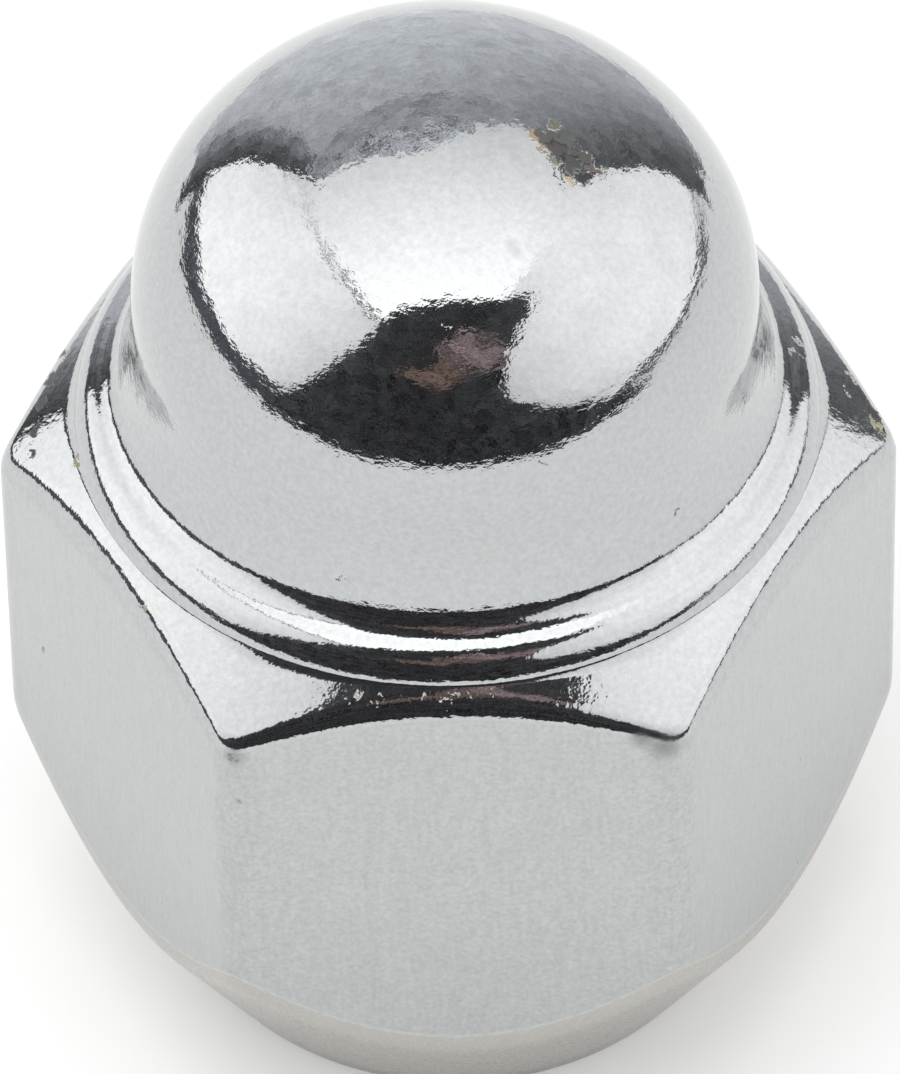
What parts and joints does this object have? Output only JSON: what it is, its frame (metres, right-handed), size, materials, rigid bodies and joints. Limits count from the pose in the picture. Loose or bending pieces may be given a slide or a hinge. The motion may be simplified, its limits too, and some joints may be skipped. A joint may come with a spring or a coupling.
{
  "type": "lug nut",
  "caption": "Chromed closed-end wheel nut: hexagon with a chamfer, round collar and domed crown, conical seat and a blind threaded hole.",
  "frame": {"origin": "centre of the seat end's circle, at the foot of the nut", "axes": "+Z along the thread axis, from the open seat end to the closed crown; a flat of the hexagon faces -Y and a corner points to +X"},
  "size_m": [0.024, 0.021, 0.0308],
  "materials": {
    "chrome": "bright chrome plating over forged steel"
  },
  "bodies": {
    "root": {"lug_nut": "chrome"}
  },
  "joints": []
}
